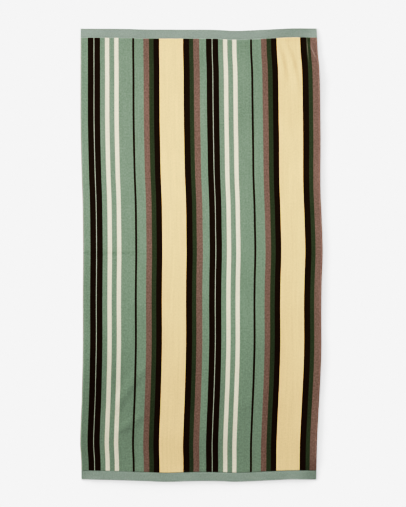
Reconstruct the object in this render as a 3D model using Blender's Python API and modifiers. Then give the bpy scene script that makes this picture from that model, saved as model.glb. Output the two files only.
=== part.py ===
"""A striped beach towel, lying face up on a flat surface.

It is one length of velour terry with lengthwise stripes, a selvedge down each long side and a
flat-woven hem across each short end. It lies flat, with its edges a little drawn, a few soft
slanting folds, and its right side and foot end just off the surface.

Units are metres. +X runs across the cloth to its right side, +Y along it to its head end and +Z
up. The origin is on the surface, under the middle of the towel's outline.
"""

import math
from collections import namedtuple

import bmesh
import bpy

MM = 0.001
# Places on the cloth closer than this are the same place.
SAME_PLACE = 0.0001

# The flat cloth, as it is cut and hemmed.
WIDTH = 0.900
LENGTH = 1.700
PILE_THICKNESS = 0.0030
HEM_THICKNESS = 0.0026
ROLLED_EDGE_THICKNESS = 0.0020
SELVEDGE_THICKNESS = 0.0014
HEM_DEPTH = 0.0345
HEM_ROLL = 0.003
SELVEDGE_WIDTH = 0.004
PILE_SLOPE = 0.004

# The mesh's columns and rows lie closer together where the folds are.
WIDEST_COLUMN = 0.0255
CLOSE_COLUMNS_FROM = 0.735
WIDEST_CLOSE_COLUMN = 0.0165
ROW_STEP = 0.040

# Yarn colours, as linear red, green and blue.
YARNS = {
    "sage": (0.198, 0.296, 0.195),
    "mist": (0.420, 0.470, 0.390),
    "cream": (0.738, 0.701, 0.591),
    "ink": (0.007, 0.003, 0.002),
    "mauve": (0.212, 0.112, 0.080),
    "forest": (0.021, 0.033, 0.012),
    "straw": (0.791, 0.651, 0.376),
    "hem": (0.296, 0.366, 0.309),
}
PILE_ROUGHNESS = 0.95
HEM_ROUGHNESS = 0.85

Stripe = namedtuple("Stripe", "yarn width_mm")

LEFT_STRIPE = Stripe("sage", 28.3)
REPEAT = (
    Stripe("ink", 19.4),
    Stripe("mist", 5.0),
    Stripe("ink", 20.0),
    Stripe("sage", 18.5),
    Stripe("cream", 17.2),
    Stripe("sage", 18.1),
    Stripe("cream", 15.6),
    Stripe("sage", 52.1),
    Stripe("ink", 7.0),
    Stripe("sage", 34.9),
    Stripe("mauve", 22.1),
    Stripe("forest", 16.4),
    Stripe("ink", 20.9),
    Stripe("straw", 91.9),
    Stripe("ink", 21.6),
    Stripe("forest", 16.6),
    Stripe("mauve", 22.2),
    Stripe("sage", 27.1),
)
# The second repeat stops at its last mauve stripe, which runs on to the right selvedge.
RIGHT_YARN = "mauve"
STRIPES_LEFT_OUT = 2

# How far each edge stands out from the flat rectangle, at places along it. Stations run from
# the middle of the edge: towards the head on the sides, and to the right on the ends.
Sway = namedtuple("Sway", "station_mm out_mm")

LEFT_SWAY = (
    Sway(-850, 0.5),
    Sway(-780, 1.5),
    Sway(-713, 5.2),
    Sway(-640, 3.2),
    Sway(-530, -1.1),
    Sway(-350, -4.8),
    Sway(-170, -4.6),
    Sway(10, -5.6),
    Sway(190, -3.9),
    Sway(310, 0.0),
    Sway(490, 3.8),
    Sway(670, 3.9),
    Sway(850, 3.9),
)
# The cloth between the side edges sways too, furthest a little right of the middle.
MIDDLE_SKEW = 1.3
MIDDLE_SWAY = (
    Sway(-850, 3.2),
    Sway(-690, 4.0),
    Sway(-600, 3.1),
    Sway(-400, 1.9),
    Sway(-230, 2.5),
    Sway(-40, 1.3),
    Sway(100, 1.9),
    Sway(220, 3.6),
    Sway(330, 1.8),
    Sway(470, 0.7),
    Sway(600, 0.2),
    Sway(700, 0.7),
    Sway(800, 2.6),
    Sway(850, 3.4),
)
RIGHT_SWAY = (
    Sway(-850, -15.0),
    Sway(-710, -12.5),
    Sway(-590, -6.5),
    Sway(-470, 0.0),
    Sway(-350, 4.0),
    Sway(-200, 3.5),
    Sway(-100, 5.5),
    Sway(10, 9.0),
    Sway(130, 5.5),
    Sway(250, 0.5),
    Sway(430, 1.0),
    Sway(610, -1.0),
    Sway(700, -3.5),
    Sway(765, -9.5),
    Sway(850, -13.5),
)
HEAD_SWAY = (
    Sway(-450, 3.0),
    Sway(-280, 2.0),
    Sway(-220, 0.0),
    Sway(-70, -0.8),
    Sway(50, -1.2),
    Sway(140, -5.0),
    Sway(260, -0.4),
    Sway(350, 3.7),
    Sway(450, 3.7),
)
FOOT_SWAY = (
    Sway(-450, -3.5),
    Sway(-340, -1.2),
    Sway(-220, 2.3),
    Sway(-130, 5.6),
    Sway(-10, 2.5),
    Sway(80, 3.3),
    Sway(140, 5.4),
    Sway(260, 0.3),
    Sway(350, -3.5),
    Sway(450, -2.5),
)

# Soft folds, as ridges in the cloth from one place to another, bowed sideways by bow_mm.
Fold = namedtuple("Fold", "from_x from_y to_x to_y bow_mm half_width_mm height_mm")

FOLDS = (
    Fold(-335, -600, -190, -400, 10, 34, 1.0),
    Fold(-345, -680, -200, -585, -8, 32, 0.9),
    Fold(100, -605, 225, -530, 6, 34, 0.6),
    Fold(284, 824, 322, 646, 0, 26, 1.8),
    Fold(308, 808, 346, 680, 11, 26, 1.7),
    Fold(345, 742, 372, 590, -4, 26, 1.3),
    Fold(372, 795, 455, 712, 4, 26, 1.8),
    Fold(390, 728, 458, 632, 4, 26, 1.6),
    Fold(-62, 835, 8, 680, 6, 28, 0.9),
    Fold(-460, -170, -390, -262, 4, 28, 1.0),
)

# Broad low swells, where the cloth doesn't lie tight on the surface.
Swell = namedtuple("Swell", "x y reach_x_mm reach_y_mm height_mm")

SWELLS = (
    Swell(-450, -420, 165, 215, 5.5),
    Swell(-20, -690, 200, 130, 2.0),
    Swell(190, -300, 140, 200, 1.8),
    Swell(130, 600, 160, 180, 1.8),
)

# Where an edge lies off the surface: a rise along it, dying away towards the cloth's inside. The
# four corners lie on the surface.
Lift = namedtuple("Lift", "side station_mm half_length_mm reach_mm height_mm")

LIFTS = (
    Lift("right", 680, 170, 135, 5.8),
    Lift("right", 530, 190, 130, 4.4),
    Lift("right", 350, 220, 140, 4.8),
    Lift("right", 150, 230, 135, 4.8),
    Lift("right", -70, 230, 145, 5.2),
    Lift("right", -280, 220, 135, 4.8),
    Lift("right", -480, 220, 140, 5.6),
    Lift("right", -690, 160, 120, 6.2),
    Lift("right", -780, 68, 75, 2.6),
    Lift("right", 795, 54, 65, 2.6),
    Lift("left", 620, 230, 55, 1.6),
    Lift("left", -120, 300, 50, 1.4),
    Lift("left", -690, 160, 60, 2.2),
    Lift("foot", -290, 160, 140, 3.4),
    Lift("foot", -120, 210, 150, 3.7),
    Lift("foot", 90, 220, 150, 3.7),
    Lift("foot", 300, 150, 140, 3.6),
    Lift("foot", 388, 60, 60, 2.2),
    Lift("foot", -396, 52, 50, 1.8),
    Lift("head", -250, 200, 60, 1.4),
    Lift("head", 330, 120, 70, 2.2),
)

RowZone = namedtuple("RowZone", "start_mm end_mm step_mm")

CLOSE_ROWS = (
    RowZone(160, 460, 17),
    RowZone(1490, 1665, 16),
)

THICKNESS_GROUP = "thickness"


def curve_through(rows, at_mm):
    """The smooth curve through a table of sways, in millimetres at a station."""
    last = len(rows) - 1
    at_mm = min(max(at_mm, rows[0].station_mm), rows[last].station_mm)
    index = max(i for i in range(last) if rows[i].station_mm <= at_mm)
    start, end = rows[index], rows[index + 1]
    before = rows[max(index - 1, 0)]
    after = rows[min(index + 2, last)]
    span = end.station_mm - start.station_mm
    part = (at_mm - start.station_mm) / span
    slope_in = (end.out_mm - before.out_mm) / (end.station_mm - before.station_mm)
    slope_out = (after.out_mm - start.out_mm) / (after.station_mm - start.station_mm)
    rest = 1 - part
    return (
        rest * rest * (1 + 2 * part) * start.out_mm
        + part * part * (3 - 2 * part) * end.out_mm
        + span * part * rest * (rest * slope_in - part * slope_out)
    )


def falling(distance, reach):
    """1 at distance 0, falling smoothly to 0 at the reach and beyond."""
    share = min(abs(distance) / reach, 1)
    return (1 - share * share) ** 2


def fold_height(fold, x_mm, y_mm):
    """How far one fold raises the cloth at a place on the flat cloth, in millimetres."""
    run_x = fold.to_x - fold.from_x
    run_y = fold.to_y - fold.from_y
    length = math.hypot(run_x, run_y)
    from_x = x_mm - fold.from_x
    from_y = y_mm - fold.from_y
    along = (from_x * run_x + from_y * run_y) / length**2
    if not 0 < along < 1:
        return 0
    taper = 4 * along * (1 - along)
    aside = (from_y * run_x - from_x * run_y) / length - fold.bow_mm * taper
    half_width = fold.half_width_mm * (1 + taper) / 2
    return fold.height_mm * taper * falling(aside, half_width)


def swell_height(swell, x_mm, y_mm):
    """How far one broad swell raises the cloth at a place, in millimetres."""
    aside = (x_mm - swell.x) / swell.reach_x_mm
    ahead = (y_mm - swell.y) / swell.reach_y_mm
    return swell.height_mm * falling(math.hypot(aside, ahead), 1)


def lift_height(lift, x_mm, y_mm):
    """How far one lifted stretch of edge raises the cloth at a place, in millimetres."""
    half_width = WIDTH / 2 / MM
    half_length = LENGTH / 2 / MM
    inwards, station = {
        "right": (half_width - x_mm, y_mm),
        "left": (half_width + x_mm, y_mm),
        "head": (half_length - y_mm, x_mm),
        "foot": (half_length + y_mm, x_mm),
    }[lift.side]
    rise = max(1 - inwards / lift.reach_mm, 0)
    along = falling(station - lift.station_mm, lift.half_length_mm)
    return lift.height_mm * rise * rise * along


def height_over_surface(across, along):
    """The underside's height at a place on the flat cloth, measured from its foot end's left."""
    x_mm = (across - WIDTH / 2) / MM
    y_mm = (along - LENGTH / 2) / MM
    folds = sum(fold_height(fold, x_mm, y_mm) for fold in FOLDS)
    swells = sum(swell_height(swell, x_mm, y_mm) for swell in SWELLS)
    lifts = sum(lift_height(lift, x_mm, y_mm) for lift in LIFTS)
    return (folds + swells + lifts) * MM


def place(across, along):
    """Where a place on the flat cloth lies, with the cloth's edges swayed."""
    x_mm = (across - WIDTH / 2) / MM
    y_mm = (along - LENGTH / 2) / MM
    left = -WIDTH / 2 - curve_through(LEFT_SWAY, y_mm) * MM
    right = WIDTH / 2 + curve_through(RIGHT_SWAY, y_mm) * MM
    foot = -LENGTH / 2 - curve_through(FOOT_SWAY, x_mm) * MM
    head = LENGTH / 2 + curve_through(HEAD_SWAY, x_mm) * MM
    share = (across / WIDTH) ** MIDDLE_SKEW
    middle = 4 * share * (1 - share) * curve_through(MIDDLE_SWAY, y_mm) * MM
    x = left + (right - left) * across / WIDTH + middle
    y = foot + (head - foot) * along / LENGTH
    return x, y, height_over_surface(across, along)


def thickness_at(across, along):
    """The cloth's thickness: full in the pile, less in the hems and selvedges."""
    from_side = min(across, WIDTH - across)
    from_end = min(along, LENGTH - along)
    if from_side <= 0:
        side = SELVEDGE_THICKNESS
    else:
        side = PILE_THICKNESS
    if from_end <= 0:
        end = ROLLED_EDGE_THICKNESS
    elif from_end <= HEM_DEPTH + SAME_PLACE:
        end = HEM_THICKNESS
    else:
        end = PILE_THICKNESS
    return min(side, end)


def stripes_across():
    """Every stripe as its yarn and its left and right edges on the flat cloth."""
    run = [LEFT_STRIPE, *REPEAT, *REPEAT[:-STRIPES_LEFT_OUT]]
    found = []
    left = 0.0
    for stripe in run:
        right = left + stripe.width_mm * MM
        found.append((stripe.yarn, left, right))
        left = right
    found.append((RIGHT_YARN, left, WIDTH))
    return found


def column_edges(stripes):
    """The mesh's columns: each stripe's edges, its wide stripes divided, and the selvedges."""
    edges = [0.0, SELVEDGE_WIDTH]
    for _, left, right in stripes:
        left = max(left, SELVEDGE_WIDTH)
        right = min(right, WIDTH - SELVEDGE_WIDTH)
        widest = WIDEST_COLUMN if left < CLOSE_COLUMNS_FROM else WIDEST_CLOSE_COLUMN
        steps = math.ceil((right - left) / widest)
        edges += [left + (right - left) * (i + 1) / steps for i in range(steps)]
    edges.append(WIDTH)
    return edges


def row_edges():
    """The mesh's rows: the hems' own lines, and even steps between, closer at the folds."""
    hem_lines = [0.0, HEM_ROLL, HEM_DEPTH, HEM_DEPTH + PILE_SLOPE]
    edges = list(hem_lines)
    body_end = LENGTH - HEM_DEPTH - PILE_SLOPE
    stops = [(zone.start_mm * MM, ROW_STEP) for zone in CLOSE_ROWS]
    stops += [(min(zone.end_mm * MM, body_end), zone.step_mm * MM) for zone in CLOSE_ROWS]
    stops.append((body_end, ROW_STEP))
    for stop, step in sorted(stops):
        start = edges[-1]
        steps = math.ceil((stop - start - SAME_PLACE) / step)
        edges += [start + (stop - start) * (i + 1) / steps for i in range(steps)]
    return edges + [LENGTH - line for line in reversed(hem_lines[:-1])]


def yarn_material(yarn, colour):
    material = bpy.data.materials.new(yarn)
    material.use_nodes = True
    material.diffuse_color = (*colour, 1.0)
    shader = material.node_tree.nodes["Principled BSDF"]
    shader.inputs["Base Color"].default_value = (*colour, 1.0)
    shader.inputs["Roughness"].default_value = HEM_ROUGHNESS if yarn == "hem" else PILE_ROUGHNESS
    shader.inputs["Metallic"].default_value = 0.0
    return material


def centred(mesh):
    """Moves the mesh so that its outline's middle is over the origin."""
    for axis in (0, 1):
        reach = [vertex.co[axis] for vertex in mesh.verts]
        middle = (min(reach) + max(reach)) / 2
        for vertex in mesh.verts:
            vertex.co[axis] -= middle


def split_on_folds(mesh, flat_places):
    """Splits each square that isn't level along the diagonal that lies closer to the cloth."""
    for face in list(mesh.faces):
        corners = list(face.verts)
        middle = [sum(flat_places[corner][i] for corner in corners) / len(corners) for i in (0, 1)]
        height = height_over_surface(*middle)
        misses = [
            (abs((corners[i].co.z + corners[i + 2].co.z) / 2 - height), i) for i in (0, 1)
        ]
        if max(misses)[0] > 0:
            _, start = min(misses)
            bmesh.utils.face_split(face, corners[start], corners[start + 2])


def underside(columns, rows, stripes, yarns):
    """The cloth's underside as a grid, each face in its stripe's yarn or the hem's."""
    mesh = bmesh.new()
    bmesh.ops.create_grid(
        mesh, x_segments=len(columns) - 1, y_segments=len(rows) - 1, size=1.0
    )
    thick = mesh.verts.layers.deform.verify()
    flat_places = {}
    for vertex in mesh.verts:
        column = round((vertex.co.x + 1) / 2 * (len(columns) - 1))
        row = round((vertex.co.y + 1) / 2 * (len(rows) - 1))
        across, along = columns[column], rows[row]
        flat_places[vertex] = (across, along)
        vertex[thick][0] = thickness_at(across, along) / PILE_THICKNESS
        vertex.co = place(across, along)
    for index, face in enumerate(mesh.faces):
        column = index % (len(columns) - 1)
        row = index // (len(columns) - 1)
        across = (columns[column] + columns[column + 1]) / 2
        along = (rows[row] + rows[row + 1]) / 2
        in_hem = min(along, LENGTH - along) < HEM_DEPTH
        yarn = next(name for name, left, right in stripes if left <= across < right)
        face.material_index = yarns.index("hem" if in_hem else yarn)
        face.smooth = True
    split_on_folds(mesh, flat_places)
    centred(mesh)
    return mesh


def make_towel(collection):
    stripes = stripes_across()
    yarns = list(YARNS)
    grid = underside(column_edges(stripes), row_edges(), stripes, yarns)
    cloth = bpy.data.meshes.new("towel")
    for yarn in yarns:
        cloth.materials.append(yarn_material(yarn, YARNS[yarn]))
    grid.to_mesh(cloth)
    grid.free()
    towel = bpy.data.objects.new("towel", cloth)
    collection.objects.link(towel)
    towel.vertex_groups.new(name=THICKNESS_GROUP)
    body = towel.modifiers.new("cloth thickness", "SOLIDIFY")
    body.thickness = PILE_THICKNESS
    body.offset = 1.0
    body.vertex_group = THICKNESS_GROUP
    body.thickness_vertex_group = 0.0
    return towel


def main():
    for old in list(bpy.data.objects):
        bpy.data.objects.remove(old, do_unlink=True)
    collection = bpy.data.collections.new("beach towel")
    bpy.context.scene.collection.children.link(collection)
    make_towel(collection)


if __name__ == "__main__":
    main()
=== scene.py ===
"""The looks of a striped velour beach towel, lying flat and face up.

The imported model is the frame: metres, +X across the towel to its right side, +Y along it to its
head end, +Z up, with the origin on the surface, under the middle of the towel's outline.

The cloth is drawn as it is made: a velour body with loops on its back and a selvedge down each
long side, a hem turned twice at each end, and a row of lockstitch through each hem. A place on
the cloth is (across, along), in metres over the flat cloth from the left end of its foot.
"""

import math
from collections import namedtuple

import bpy
import numpy as np
from bpy.props import FloatProperty, FloatVectorProperty, PointerProperty
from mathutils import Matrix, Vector
from mathutils.geometry import tessellate_polygon
from mathutils.noise import noise


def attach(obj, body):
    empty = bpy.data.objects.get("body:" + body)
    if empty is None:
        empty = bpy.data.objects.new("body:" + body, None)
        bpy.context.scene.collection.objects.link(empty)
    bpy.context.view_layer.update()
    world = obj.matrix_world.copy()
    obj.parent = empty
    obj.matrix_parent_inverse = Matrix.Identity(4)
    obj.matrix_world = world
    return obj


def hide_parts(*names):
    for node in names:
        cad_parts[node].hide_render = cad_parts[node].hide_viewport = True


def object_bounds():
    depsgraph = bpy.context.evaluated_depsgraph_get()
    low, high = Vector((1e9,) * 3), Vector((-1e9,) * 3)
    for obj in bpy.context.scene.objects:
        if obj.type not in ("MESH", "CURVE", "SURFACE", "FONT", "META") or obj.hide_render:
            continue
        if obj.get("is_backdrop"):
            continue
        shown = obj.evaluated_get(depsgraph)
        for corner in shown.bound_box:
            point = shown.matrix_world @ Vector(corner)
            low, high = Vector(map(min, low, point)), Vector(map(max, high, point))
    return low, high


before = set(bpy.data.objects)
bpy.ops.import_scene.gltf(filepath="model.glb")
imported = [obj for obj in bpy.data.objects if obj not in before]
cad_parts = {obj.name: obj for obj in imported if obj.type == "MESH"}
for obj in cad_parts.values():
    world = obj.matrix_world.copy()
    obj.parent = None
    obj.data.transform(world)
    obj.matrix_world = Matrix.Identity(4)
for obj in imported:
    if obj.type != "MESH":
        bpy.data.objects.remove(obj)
CAD_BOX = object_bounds()

bl_info = {
    "name": "Striped beach towel",
    "version": (1, 0, 0),
    "blender": (4, 5, 0),
    "location": "3D View > Sidebar > Beach towel",
    "description": "Lays a striped velour beach towel over its fixed frame",
    "category": "Add Mesh",
}

MM = 0.001
PLACE = "cloth_place"

# -------- the stripe

# One repeat from left to right: each stripe's yarn, and its width in millimetres.
REPEAT = (
    ("ink", 19.4), ("mist", 5.0), ("ink", 20.0), ("sage", 18.5), ("cream", 17.2), ("sage", 18.1),
    ("cream", 15.6), ("sage", 52.1), ("ink", 7.0), ("sage", 34.9), ("mauve", 22.1),
    ("forest", 16.4), ("ink", 20.9), ("straw", 91.9), ("ink", 21.6), ("forest", 16.6),
    ("mauve", 22.2), ("sage", 27.1),
)
# The left stripe is the end of a repeat, and the first whole repeat starts beside it.
LEFT_STRIPE_MM = 28.3
# How uneven each yarn's tufts look, from 0 to 1.
UNEVEN = {
    "sage": 0.55, "mist": 0.50, "cream": 0.25, "ink": 0.50, "mauve": 0.85, "forest": 0.50,
    "straw": 0.18,
}
# Past these places the outermost stripes run on to the selvedges.
STRIPE_STARTS_MM = 2.0
STRIPE_ENDS_MM = 894.5

# -------- how the cloth lies

# How far each edge stands out from the flat rectangle. Each pair is a station along the edge
# and how far out the edge is there, in millimetres. Stations run from the middle of the edge:
# towards the head on the sides, and to the right on the ends.
LEFT_SWAY = (
    (-850, 0.5), (-780, 1.5), (-713, 5.2), (-640, 3.2), (-530, -1.1), (-350, -4.8), (-170, -4.6),
    (10, -5.6), (190, -3.9), (310, 0.0), (490, 3.8), (670, 3.9), (850, 3.9),
)
RIGHT_SWAY = (
    (-850, -15.0), (-710, -12.5), (-590, -6.5), (-470, 0.0), (-350, 4.0), (-200, 3.5),
    (-100, 5.5), (10, 9.0), (130, 5.5), (250, 0.5), (430, 1.0), (610, -1.0), (700, -3.5),
    (765, -9.5), (850, -13.5),
)
HEAD_SWAY = (
    (-450, 3.0), (-280, 2.0), (-220, 0.0), (-70, -0.8), (50, -1.2), (140, -5.0), (260, -0.4),
    (350, 3.7), (450, 3.7),
)
FOOT_SWAY = (
    (-450, -3.5), (-340, -1.2), (-220, 2.3), (-130, 5.6), (-10, 2.5), (80, 3.3), (140, 5.4),
    (260, 0.3), (350, -3.5), (450, -2.5),
)
# The cloth between the side edges sways to the right, furthest a little right of the middle.
MIDDLE_SKEW = 1.3
MIDDLE_SWAY = (
    (-850, 3.2), (-690, 4.0), (-600, 3.1), (-400, 1.9), (-230, 2.5), (-40, 1.3), (100, 1.9),
    (220, 3.6), (330, 1.8), (470, 0.7), (600, 0.2), (700, 0.7), (800, 2.6), (850, 3.4),
)

# The outline's extent is read at this many places along each edge.
OUTLINE_STATIONS = 401

# Soft folds, as ridges in the cloth from one place to another, bowed sideways by bow_mm. A
# trough has a height below nothing.
Fold = namedtuple("Fold", "from_x from_y to_x to_y bow_mm half_width_mm height_mm")

FOLDS = (
    Fold(-335, -600, -190, -400, 10, 34, 1.0), Fold(-345, -680, -200, -585, -8, 32, 0.9),
    Fold(100, -605, 225, -530, 6, 34, 0.6), Fold(284, 824, 322, 646, 0, 26, 1.8),
    Fold(308, 808, 346, 680, 11, 26, 1.7), Fold(345, 742, 372, 590, -4, 26, 1.3),
    Fold(372, 795, 455, 712, 4, 26, 1.8), Fold(390, 728, 458, 632, 4, 26, 1.6),
    Fold(-62, 835, 8, 680, 6, 28, 0.9), Fold(-460, -170, -390, -262, 4, 28, 1.0),
)

# Broad low swells, where the cloth doesn't lie tight on the surface.
Swell = namedtuple("Swell", "x y reach_x_mm reach_y_mm height_mm")

SWELLS = (
    Swell(-450, -420, 165, 215, 5.5), Swell(-20, -690, 200, 130, 2.0),
    Swell(190, -300, 140, 200, 1.8), Swell(130, 600, 160, 180, 1.8),
)

# Where an edge lies off the surface: a rise along it, dying away towards the cloth's inside. The
# four corners lie on the surface.
Lift = namedtuple("Lift", "station_mm half_length_mm reach_mm height_mm")

LIFTS = {
    "right": (
        Lift(680, 170, 135, 5.8), Lift(530, 190, 130, 4.4), Lift(350, 220, 140, 4.8),
        Lift(150, 230, 135, 4.8), Lift(-70, 230, 145, 5.2), Lift(-280, 220, 135, 4.8),
        Lift(-480, 220, 140, 5.6), Lift(-690, 160, 120, 6.2), Lift(-780, 68, 75, 2.6),
        Lift(795, 54, 65, 2.6),
    ),
    "left": (Lift(620, 230, 55, 1.6), Lift(-120, 300, 50, 1.4), Lift(-690, 160, 60, 2.2)),
    "foot": (
        Lift(-290, 160, 140, 3.4), Lift(-120, 210, 150, 3.7), Lift(90, 220, 150, 3.7),
        Lift(300, 150, 140, 3.6), Lift(388, 60, 60, 2.2), Lift(-396, 52, 50, 1.8),
    ),
    "head": (Lift(-250, 200, 60, 1.4), Lift(330, 120, 70, 2.2)),
}

# Fine creases that only the pile's upper face shows, beside the soft folds.
CREASES = (
    Fold(-318, -625, -196, -432, 6, 9, -0.20), Fold(-322, -692, -206, -612, -6, 9, -0.16),
    Fold(292, 824, 330, 646, 0, 13, 1.05), Fold(314, 808, 354, 684, 12, 13, 1.05),
    Fold(352, 742, 378, 596, -5, 13, 0.75), Fold(412, 800, 438, 748, 3, 11, 0.65),
    Fold(405, 752, 444, 690, 3, 11, 0.60), Fold(-45, 812, 2, 716, 4, 8, -0.18),
)

# Painted highlights along two sharp creases in the pile: where each runs, how wide it is, and how
# much of the pale highlight colour it mixes into the base colour.
CreaseHighlight = namedtuple("CreaseHighlight", "from_x from_y to_x to_y half_width_mm share")

CREASE_HIGHLIGHTS = (
    CreaseHighlight(418, 798, 446, 720, 4.0, 0.52),
    CreaseHighlight(409.5, 850, 412, 706, 2.6, 0.42),
)

# Lines that the towel was folded on when it was put away: small steps across the nap, up towards
# the head, or down where the step is below nothing.
StorageFold = namedtuple("StorageFold", "from_x to_x y step_mm")

STORAGE_FOLDS = (
    StorageFold(-470, -262, 5, 0.75), StorageFold(-262, -120, 3, 0.25),
    StorageFold(-320, -212, 160, -0.45), StorageFold(-262, -205, 436, 0.50),
    StorageFold(-440, -290, 434, 0.20),
)


def falling(distance, reach):
    """1 at distance 0, falling smoothly to 0 at the reach and beyond."""
    share = np.minimum(np.abs(distance) / reach, 1)
    return (1 - share * share) ** 2


def rising(value, start, end):
    """0 up to the start, rising smoothly to 1 at the end and beyond."""
    share = np.clip((value - start) / (end - start), 0, 1)
    return share * share * (3 - 2 * share)


def quarter_round(distance, radius):
    """The height share of a quarter round that starts at distance 0, 1 past its radius."""
    short = 1 - np.clip(distance / radius, 0, 1)
    return np.sqrt(1 - short * short)


def curve_through(rows, at_mm):
    """The smooth curve through a table of sways, in millimetres at each station."""
    stations, outs = (np.array(column, float) for column in zip(*rows))
    slopes = np.diff(outs) / np.diff(stations)
    inner = (outs[2:] - outs[:-2]) / (stations[2:] - stations[:-2])
    slopes = np.concatenate([slopes[:1], inner, slopes[-1:]])
    at_mm = np.clip(at_mm, stations[0], stations[-1])
    index = np.clip(np.searchsorted(stations, at_mm, side="right") - 1, 0, len(rows) - 2)
    span = stations[index + 1] - stations[index]
    part = (at_mm - stations[index]) / span
    rest = 1 - part
    return (
        rest * rest * (1 + 2 * part) * outs[index]
        + part * part * (3 - 2 * part) * outs[index + 1]
        + span * part * rest * (rest * slopes[index] - part * slopes[index + 1])
    )


def beside_line(line, x_mm, y_mm):
    """What share of a line a place has passed, and how far aside of it the place is."""
    run_x = line.to_x - line.from_x
    run_y = line.to_y - line.from_y
    length = math.hypot(run_x, run_y)
    from_x = x_mm - line.from_x
    from_y = y_mm - line.from_y
    passed = (from_x * run_x + from_y * run_y) / length**2
    return passed, (from_y * run_x - from_x * run_y) / length


def fold_height(fold, x_mm, y_mm):
    """How far one fold raises the cloth at each place, in millimetres."""
    passed, aside = beside_line(fold, x_mm, y_mm)
    passed = np.clip(passed, 0, 1)
    taper = 4 * passed * (1 - passed)
    half_width = fold.half_width_mm * (1 + taper) / 2
    return fold.height_mm * taper * falling(aside - fold.bow_mm * taper, half_width)


def swell_height(swell, x_mm, y_mm):
    """How far one broad swell raises the cloth at each place, in millimetres."""
    aside = (x_mm - swell.x) / swell.reach_x_mm
    ahead = (y_mm - swell.y) / swell.reach_y_mm
    return swell.height_mm * falling(np.hypot(aside, ahead), 1)


def lift_height(cloth, side, lift, x_mm, y_mm):
    """How far one lifted stretch of edge raises the cloth at each place, in millimetres."""
    half_width = cloth.width / 2 / MM
    half_length = cloth.length / 2 / MM
    inwards, station = {
        "right": (half_width - x_mm, y_mm),
        "left": (half_width + x_mm, y_mm),
        "head": (half_length - y_mm, x_mm),
        "foot": (half_length + y_mm, x_mm),
    }[side]
    rise = np.maximum(1 - inwards / lift.reach_mm, 0)
    along = falling(station - lift.station_mm, lift.half_length_mm)
    return lift.height_mm * rise * rise * along


def from_middle_mm(cloth, across, along):
    """Places on the cloth, in millimetres from its flat middle."""
    return (across - cloth.width / 2) / MM, (along - cloth.length / 2) / MM


def height_over_surface(cloth, across, along):
    """The cloth's underside over the surface that it lies on, in metres."""
    x_mm, y_mm = from_middle_mm(cloth, across, along)
    folds = sum(fold_height(fold, x_mm, y_mm) for fold in FOLDS)
    swells = sum(swell_height(swell, x_mm, y_mm) for swell in SWELLS)
    sides = ((side, lift) for side, rows in LIFTS.items() for lift in rows)
    lifts = sum(lift_height(cloth, side, lift, x_mm, y_mm) for side, lift in sides)
    return (folds + swells + lifts) * MM


def swayed(cloth, across, along):
    """Where places on the cloth lie, with the cloth's edges swayed."""
    x_mm, y_mm = from_middle_mm(cloth, across, along)
    left = -cloth.width / 2 - curve_through(LEFT_SWAY, y_mm) * MM
    right = cloth.width / 2 + curve_through(RIGHT_SWAY, y_mm) * MM
    foot = -cloth.length / 2 - curve_through(FOOT_SWAY, x_mm) * MM
    head = cloth.length / 2 + curve_through(HEAD_SWAY, x_mm) * MM
    share = np.clip(across / cloth.width, 0, 1) ** MIDDLE_SKEW
    middle = 4 * share * (1 - share) * curve_through(MIDDLE_SWAY, y_mm) * MM
    x = left + (right - left) * across / cloth.width + middle
    y = foot + (head - foot) * along / cloth.length
    return x, y


def outline_middle(cloth):
    """The middle of the swayed outline, which stands over the origin."""
    run = np.linspace(0, 1, OUTLINE_STATIONS)
    near, far = np.zeros_like(run), np.ones_like(run)
    across = np.concatenate([run, run, near, far]) * cloth.width
    along = np.concatenate([near, far, run, run]) * cloth.length
    x, y = swayed(cloth, across, along)
    return (x.min() + x.max()) / 2, (y.min() + y.max()) / 2


def laid(cloth, across, along, over):
    """Points in the frame: places on the cloth, lying as it lies, and over its underside."""
    across, along, over = np.broadcast_arrays(across, along, over)
    x, y = swayed(cloth, across, along)
    middle_x, middle_y = outline_middle(cloth)
    z = height_over_surface(cloth, across, along) + over
    return np.stack([x - middle_x, y - middle_y, z], axis=-1)


def wander(values, size, seed):
    """Smooth noise from -1 to 1 along a line of places, with bumps of about the size."""
    return np.array([noise(Vector((value / size, seed, seed / 2))) for value in values])


# -------- sizes, yarns and light


def amount(name, description, default, unit="NONE"):
    return FloatProperty(name=name, description=description, default=default, unit=unit)


def metres(name, description, default):
    return amount(name, description, default, "LENGTH")


def yarn_colour(name, colour):
    note = "The yarn's colour, as it reflects light"
    return FloatVectorProperty(
        name=name, description=note, subtype="COLOR", size=3, default=colour, min=0, max=1
    )


class TowelSizes(bpy.types.PropertyGroup):
    """The cloth's sizes, in metres."""

    width: metres("Width", "Flat width, over the selvedges", 0.900)
    length: metres("Length", "Flat length, over the hems", 1.700)
    pile: metres("Pile", "Thickness of the velour terry", 0.0030)
    hem_depth: metres("Hem depth", "How deep each hem is", 0.0345)
    ply: metres("Hem ply", "Thickness of one of the three plies in a hem", 0.00082)
    ply_gap: metres("Ply gap", "Room between two plies", 0.00005)
    selvedge: metres("Selvedge", "Width without pile", 0.0026)
    stitch_pitch: metres("Stitch pitch", "Room for one stitch", 0.0031)
    stitch_inset: metres("Stitch inset", "How far the stitches are from the pile", 0.0028)
    thread: metres("Thread", "Thickness of the sewing thread", 0.0004)


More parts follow.
